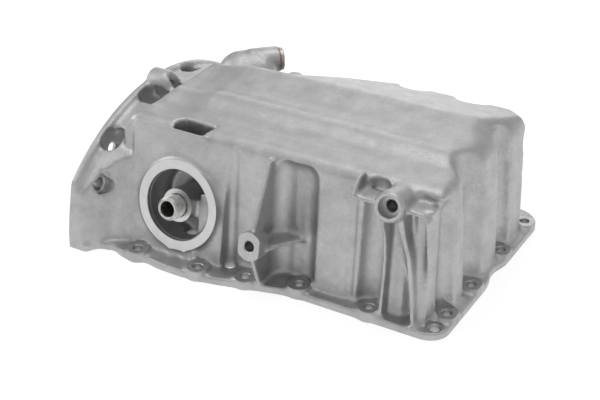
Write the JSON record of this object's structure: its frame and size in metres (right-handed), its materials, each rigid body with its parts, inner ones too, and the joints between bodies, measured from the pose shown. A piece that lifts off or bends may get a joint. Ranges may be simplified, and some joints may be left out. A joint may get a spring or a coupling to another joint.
{
  "type": "engine oil pan",
  "caption": "Deep cast aluminium oil pan with a bolted joint rail, a leaning oil filter seat with nipple, bracket bosses, a part bell housing flange and a drain boss",
  "frame": {"origin": "on the crankcase joint face, under the crankshaft axis, at half the pan's length; the pan stands on that face as in the picture", "axes": "+X along the crankshaft from the gearbox end to the timing end, +Y across the engine from the filter side to the drain side, +Z from the joint face up to the floor of the pan"},
  "size_m": [0.33, 0.276, 0.1265],
  "materials": {
    "cast_aluminium": "sand cast and blasted, matt, with bright machined faces",
    "nipple_steel": "turned, plain, threaded",
    "plug_steel": "zinc plated",
    "washer_copper": "soft annealed copper sealing ring"
  },
  "bodies": {
    "root": {"pan_casting": "cast_aluminium", "filter_nipple": "nipple_steel", "drain_plug": "plug_steel", "drain_washer": "washer_copper"}
  },
  "joints": []
}
